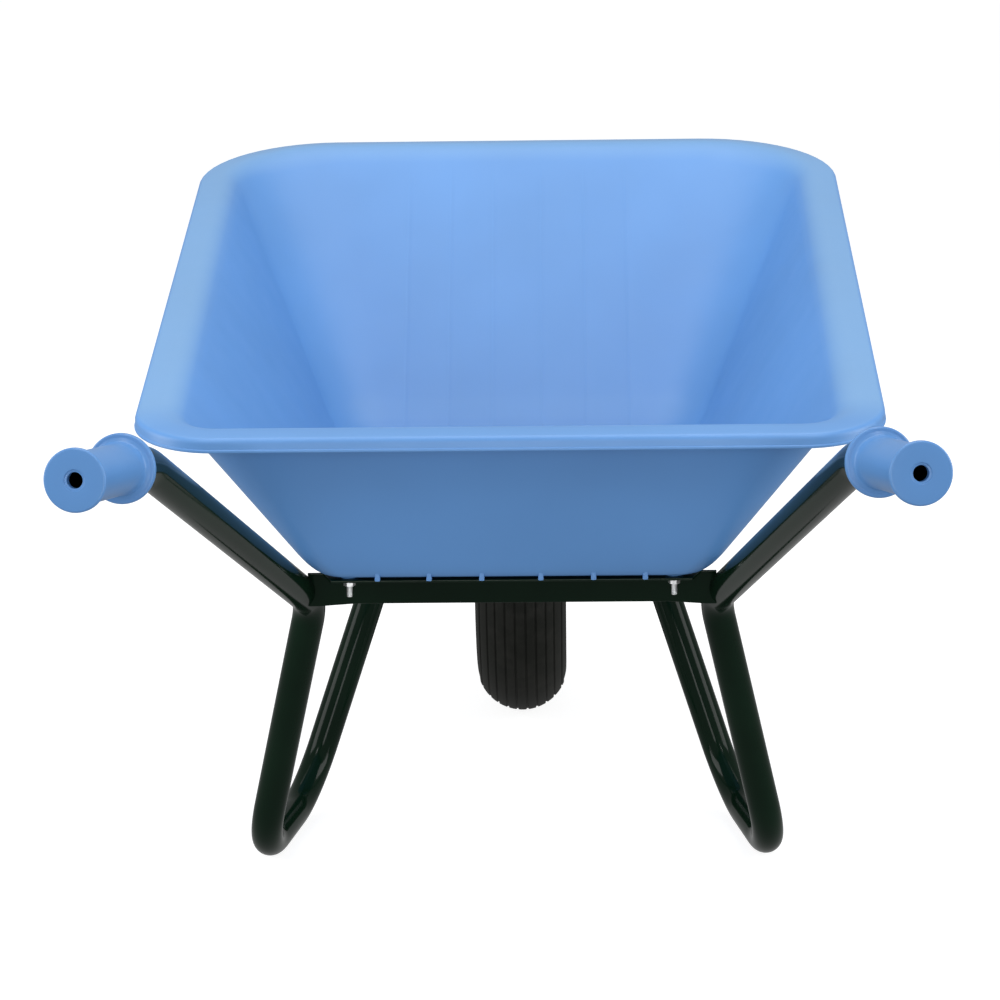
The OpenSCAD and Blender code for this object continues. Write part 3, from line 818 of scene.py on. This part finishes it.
def pan_fasteners():
    """Cup-head bolt, washer and nut at each of the four pan bolts."""
    head_z = PAN_FLOOR_Z + PAN_WALL
    washer_h = 1.2
    nut_h = 5.0
    washer_z = STRUT_TOP - STRUT_SHEET - washer_h
    tip_z = washer_z - nut_h - 11.0
    dome = [
        (0.05, 3.8), (1.5, 3.75), (3, 3.55), (4.6, 3.0), (6, 2.2), (7.0, 1.2), (7.5, 0.3), (7.4, 0), (3, 0)
    ]
    for prefix, (x, y), seed in (("rear", REAR_BOLT, 1), ("front", FRONT_BOLT, 5)):
        rng = random.Random(seed)
        bolts, washers, nuts = [], [], []
        for side in (-1, 1):
            at = Matrix.Translation((side * x, y, 0))
            turn = Matrix.Rotation(rng.uniform(0, 1.0), 4, "Z")
            bolts.append(turned_solid([(3.0, tip_z + 17.5), (3.0, head_z)], at, 40))
            head = [(0.05, head_z - 0.1)] + [(r, head_z + z) for r, z in reversed(dome)]
            bolts.append(turned_solid(head, at, 48))
            bolts.append(threaded_rod(3.0, tip_z, tip_z + 18.0, at))
            washers.append(washer(6.4, 3.25, washer_h, Matrix.Translation((side * x, y, washer_z))))
            nuts.append(nut(10, nut_h, 3.0, Matrix.Translation((side * x, y, washer_z - nut_h)) @ turn))
        for kind, shells in (("bolts", bolts), ("washers", washers), ("nuts", nuts)):
            name = f"{prefix}_pan_{kind}"
            vertices, faces = joined(shells)
            finish_piece(name, vertices, faces, zinc, FRAME_BODY, [name], sharp=35)


# ---------------------------------------------------------------- axle

AXLE_Y = 506.0
AXLE_Z = 200.0
AXLE_R = 7.95
PLATE_X = 87.0
PLATE_THICKNESS = 5.0
HUB_HALF = 46.0
HUB_R = 17.0
HUB_BORE_R = 12.02


def on_axle(x=0.0, side=1):
    """A place on the axle whose z axis runs along +X, or along -X on the left."""
    return frame_at((side * x, AXLE_Y, AXLE_Z), (side, 0, 0))


def axle_plates():
    outline = rounded(
        [
            (-36, 25, 1),
            (-17, -8, 8),
            (-9, -17.5, 8),
            (9, -17.5, 8),
            (17, -8, 8),
            (36, 21, 1),
        ],
        6,
    )
    for name, side in (("right_axle_plate", 1), ("left_axle_plate", -1)):
        rings = []
        for x, shrink in ((0, 0.6), (0.6, 0), (PLATE_THICKNESS - 0.6, 0), (PLATE_THICKNESS, 0.6)):
            ring = []
            for p in outline:
                scale = 1 - shrink / 25.0
                ring.append(Vector((side * (PLATE_X + x), AXLE_Y + p[0] * scale, AXLE_Z + p[1] * scale)))
            rings.append(ring)
        shells = [skin(rings)]
        for y in (-26, 26):
            start = Vector((side * (PLATE_X + 2.5), AXLE_Y + y - 7, AXLE_Z + 20.5 - 0.14 * (y - 7)))
            shells.append(weld_bead([start, start + Vector((0, 14, -2))], 3.0, seed=7 + y))
        vertices, faces = joined(shells)
        finish_piece(name, vertices, faces, frame_paint, FRAME_BODY, [name], sharp=45)


def axle_parts():
    rod = turned_solid([(0.05, -96), (AXLE_R, -96), (AXLE_R, 96), (0.05, 96)], on_axle(), 64)
    shells = [rod]
    for side in (-1, 1):
        shells.append(threaded_rod(AXLE_R, 93.0, 109.0, on_axle(0, side), 2.0, 48))
    vertices, faces = joined(shells)
    finish_piece("axle", vertices, faces, zinc, FRAME_BODY, ["axle"], sharp=35)
    washers, nuts, spacers = [], [], []
    outer_face = PLATE_X + PLATE_THICKNESS
    spacer_x = HUB_HALF + 2.4
    for side in (-1, 1):
        washers.append(washer(14, AXLE_R + 0.2, 2.5, on_axle(outer_face, side)))
        nuts.append(nut(24, 11, AXLE_R, on_axle(outer_face + 2.5, side)))
        outline = rounded(
            [(8.15, 0, 0.3), (12, 0, 0.8), (12, PLATE_X - spacer_x, 0.8), (8.15, PLATE_X - spacer_x, 0.3)], 3
        )
        spacers.append(turned(outline, on_axle(spacer_x, side), 56))
    for name, shells in (("axle_washers", washers), ("axle_nuts", nuts), ("axle_spacers", spacers)):
        vertices, faces = joined(shells)
        finish_piece(name, vertices, faces, zinc, FRAME_BODY, [name], sharp=35)


# ---------------------------------------------------------------- wheel

SECTION_R = 54.0
RING_R = 146.0
CASING = 9.0
BEAD_R = 101.6
RIM_HALF = 31.4
RIM_EDGE_R = 109.0
RIM_BOLT_RING_R = 55.0
GROOVES = (6.4, 18.8, 32.2, 45.3, 60.9)
GROOVE_DEPTH = 1.5
GROOVE_HALF = 1.35


def tyre_outline():
    """Half outline to mirror: tread ribs with rounded shoulders, sidewall rings, then the bead."""
    outer = []
    groove_edge = math.degrees(GROOVE_HALF / SECTION_R)
    a = 0.0
    for groove in GROOVES:
        while a < groove - groove_edge - 0.8:
            outer.append((a, 0.0))
            a += 1.6
        lip = 0.45
        outer.append((groove - groove_edge - 0.55, 0.0))
        outer.append((groove - groove_edge - 0.1, -lip * 0.4))
        outer.append((groove - groove_edge * 0.92, -lip))
        outer.append((groove - groove_edge * 0.72, -GROOVE_DEPTH + 0.3))
        outer.append((groove - groove_edge * 0.4, -GROOVE_DEPTH))
        outer.append((groove + groove_edge * 0.4, -GROOVE_DEPTH))
        outer.append((groove + groove_edge * 0.72, -GROOVE_DEPTH + 0.3))
        outer.append((groove + groove_edge * 0.92, -lip))
        outer.append((groove + groove_edge + 0.1, -lip * 0.4))
        outer.append((groove + groove_edge + 0.55, 0.0))
        a = groove + groove_edge + 1.4
    while a < 66:
        outer.append((a, 0.0))
        a += 2.0
    outer += [(67, -0.1), (68, -0.9), (69.5, -1.3)]
    a = 72.0
    while a < 106:
        outer.append((a, -1.3))
        a += 3.0
    outer += [(107, -0.7), (109, -0.5), (111, -0.7), (112, -1.3), (116, -1.4)]
    outer += [(119, -1.4), (120, -0.9), (121.5, -0.8), (123, -1.4), (126, -1.4)]
    points = []
    for angle, rise in outer:
        r = SECTION_R + rise
        rad = math.radians(angle)
        points.append((RING_R + r * math.cos(rad), r * math.sin(rad)))
    points += [
        (RIM_EDGE_R + 1.4, 37.4),
        (RIM_EDGE_R + 0.9, RIM_HALF + 0.8),
        (RIM_EDGE_R - 1.5, RIM_HALF - 0.1),
        (BEAD_R + 1.5, RIM_HALF - 0.1),
        (BEAD_R + 0.1, RIM_HALF - 1.4),
    ]
    cavity = SECTION_R - CASING
    points.append((BEAD_R + 0.1, 9.8))
    first = math.degrees(math.atan2(9.0, BEAD_R + 0.6 - RING_R))
    for k in range(24):
        rad = math.radians(first * (1 - k / 24.0))
        points.append((RING_R + cavity * math.cos(rad), cavity * math.sin(rad)))
    points.append((RING_R + cavity, 0.0))
    return points


def tyre():
    half = tyre_outline()
    full = half + [(r, -x) for r, x in reversed(half[1:-1])]
    vertices, faces = turned(full, on_axle(), 160)
    finish_piece("tyre", vertices, faces, tyre_rubber, WHEEL_BODY, ["tyre"], sharp=75)


def rims():
    sheet = 2.6
    seat = BEAD_R - 0.1
    outline = rounded(
        [
            (17.05, 0, 0.3),
            (40, 0, 0),
            (84, 0, 4),
            (seat, 12, 5),
            (seat, RIM_HALF, 2),
            (RIM_EDGE_R, RIM_HALF, 1.1),
            (RIM_EDGE_R, RIM_HALF + sheet, 1.1),
            (seat - sheet, RIM_HALF + sheet, 3.5),
            (seat - sheet, 13.6, 4),
            (82.6, sheet, 4),
            (40, sheet, 0),
            (17.05, sheet, 0.3),
        ],
        6,
    )
    for name, side in (("right_rim", 1), ("left_rim", -1)):
        vertices, faces = turned(outline, on_axle(0, side), 128)
        finish_piece(name, vertices, faces, rim_paint, WHEEL_BODY, [name], sharp=50)


def hub():
    outline = rounded(
        [
            (HUB_BORE_R, -HUB_HALF, 0.4),
            (HUB_R, -HUB_HALF, 0.8),
            (HUB_R, HUB_HALF, 0.8),
            (HUB_BORE_R, HUB_HALF, 0.4),
        ],
        3,
    )
    shells = [turned(outline, on_axle(), 64)]
    for side in (-1, 1):
        ring = []
        for k in range(49):
            a = 2 * math.pi * k / 48
            ring.append(Vector((side * 3.6, AXLE_Y + 18.2 * math.cos(a), AXLE_Z + 18.2 * math.sin(a))))
        shells.append(weld_bead(ring, 2.0, seed=11 + side))
    vertices, faces = joined(shells)
    finish_piece("hub_tube", vertices, faces, rim_paint, WHEEL_BODY, ["hub_tube"], sharp=45)
    bush = rounded(
        [
            (AXLE_R + 0.05, 20, 0.2),
            (12, 20, 0.6),
            (12, HUB_HALF, 0.2),
            (15.5, HUB_HALF, 0.5),
            (15.5, HUB_HALF + 2, 0.6),
            (AXLE_R + 0.05, HUB_HALF + 2, 0.3),
        ],
        3,
    )
    for name, side in (("right_bush", 1), ("left_bush", -1)):
        vertices, faces = turned(bush, on_axle(0, side), 56)
        finish_piece(name, vertices, faces, nylon, WHEEL_BODY, [name], sharp=40)


def rim_fasteners():
    bolts, nuts = [], []
    for k in range(4):
        spin = Matrix.Rotation(math.radians(45 + 90 * k), 4, "Z")
        centre = frame_at((0, AXLE_Y, AXLE_Z), (1, 0, 0), (0, 0, -1))
        place = centre @ spin @ Matrix.Translation((RIM_BOLT_RING_R, 0, 0))
        bolts.append(hexagon_head(13, 5.3, place @ Matrix.Translation((0, 0, 2.6))))
        bolts.append(turned_solid([(3.9, -4), (3.9, 3)], place, 32))
        bolts.append(threaded_rod(3.95, -13, -2, place, 1.25, 28))
        nuts.append(nut(13, 6.5, 3.95, place @ Matrix.Translation((0, 0, -9.1))))
    for name, shells in (("rim_bolts", bolts), ("rim_nuts", nuts)):
        vertices, faces = joined(shells)
        finish_piece(name, vertices, faces, zinc, WHEEL_BODY, [name], sharp=35)


def valve():
    direction = Vector((0.8, 0, -0.6))
    at = Vector((8, AXLE_Y, AXLE_Z + 91.5))
    place = frame_at(at, direction, (0, 1, 0))
    stem = [(0.05, -11), (4.0, -11), (4.0, 2), (3.9, 3), (3.2, 12), (3.1, 19), (2.6, 26), (0.05, 26)]
    vertices, faces = turned_solid(stem, place, 40)
    finish_piece("valve_stem", vertices, faces, butyl, WHEEL_BODY, ["valve_stem"], sharp=40)
    ridges = 20
    rings = []
    for along, radius, knurl in (
        (18, 4.05, 0),
        (18, 4.7, 0),
        (18.6, 5.1, 0.25),
        (26, 5.1, 0.25),
        (27.2, 4.9, 0.1),
        (29.2, 4.2, 0),
        (30, 3.0, 0),
        (30, 0.1, 0),
    ):
        ring = []
        for k in range(ridges * 4):
            a = 2 * math.pi * k / (ridges * 4)
            r = radius - knurl * (1 - math.cos(ridges * a))
            ring.append(place @ Vector((r * math.cos(a), r * math.sin(a), along)))
        rings.append(ring)
    vertices, faces = skin(rings)
    finish_piece("valve_cap", vertices, faces, cap_plastic, WHEEL_BODY, ["valve_cap"])


# ---------------------------------------------------------------- build

pan()
frame_tubes()
nose_sleeve()
grips()
strut("rear_strut", REAR_STRUT_Y, reach=196.0, flange_end=181.0, flare=2.5, flare_from=150.0)
strut("front_strut", FRONT_STRUT_Y, reach=112.0, flange_end=130.0)
pan_fasteners()
axle_plates()
axle_parts()
tyre()
rims()
hub()
rim_fasteners()
valve()

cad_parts["inner_tube"].data.materials.clear()
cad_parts["inner_tube"].data.materials.append(butyl)


# ---------------------------------------------------------------- studio

CAMERA_PLACE = Vector((0.0477, -2.867, 1.050))
CAMERA_PITCH = 13.3
CAMERA_YAW = 1.238
CAMERA_ROLL = -0.75
CAMERA_LENS = 104.4


def studio_floor():
    """A white lit floor that the pieces neither mirror nor take light from."""
    reach = 60.0
    mesh = bpy.data.meshes.new("studio_floor")
    corners = [(-reach, -reach, 0), (reach, -reach, 0), (reach, reach, 0), (-reach, reach, 0)]
    mesh.from_pydata(corners, [], [(0, 1, 2, 3)])
    mesh.materials.append(floor_material())
    floor = bpy.data.objects.new("studio_floor", mesh)
    floor.visible_diffuse = False
    floor.visible_glossy = False
    bpy.context.scene.collection.objects.link(floor)


def area_light(name, place, target, size, power):
    """A soft rectangular light that the camera does not see."""
    data = bpy.data.lights.new(name, "AREA")
    data.shape = "RECTANGLE"
    data.size, data.size_y = size
    data.energy = power
    light = bpy.data.objects.new(name, data)
    light.location = place
    light.visible_camera = False
    light.rotation_mode = "QUATERNION"
    light.rotation_quaternion = (Vector(target) - Vector(place)).to_track_quat("-Z", "Y")
    bpy.context.scene.collection.objects.link(light)


def studio():
    studio_floor()
    world = bpy.data.worlds.new("studio")
    world.use_nodes = True
    background = world.node_tree.nodes["Background"]
    background.inputs["Color"].default_value = (1.0, 1.0, 1.0, 1.0)
    background.inputs["Strength"].default_value = 0.39
    bpy.context.scene.world = world
    area_light("top_light", (0.0, 0.4, 3.2), (0, 0.1, 0.4), (2.6, 2.6), 42.0)
    for label, side in (("left", -1), ("right", 1)):
        area_light(f"{label}_light", (side * 2.6, -0.7, 1.0), (0, 0, 0.4), (1.4, 2.0), 40.0)
    area_light("front_light", (0.0, -3.6, 1.3), (0, 0, 0.45), (0.9, 0.8), 12.0)
    area_light("low_light", (0.0, -2.4, 0.25), (0, 0, 0.45), (1.0, 0.3), 7.0)
    for label, side in (("left", -1), ("right", 1)):
        area_light(f"{label}_strip", (side * 0.8, -1.4, 2.6), (side * 0.2, 0.2, 0.2), (0.1, 2.0), 12.0)


def camera():
    data = bpy.data.cameras.new("camera")
    data.lens = CAMERA_LENS
    data.sensor_width = 36.0
    data.clip_end = 200.0
    view = bpy.data.objects.new("camera", data)
    turn = Matrix.Rotation(math.radians(CAMERA_YAW), 4, "Z")
    tilt = Matrix.Rotation(math.radians(90 - CAMERA_PITCH), 4, "X")
    roll = Matrix.Rotation(math.radians(CAMERA_ROLL), 4, "Z")
    view.matrix_world = Matrix.Translation(CAMERA_PLACE) @ turn @ tilt @ roll
    bpy.context.scene.collection.objects.link(view)
    bpy.context.scene.camera = view


studio()
camera()
bpy.context.scene.view_settings.view_transform = "Standard"
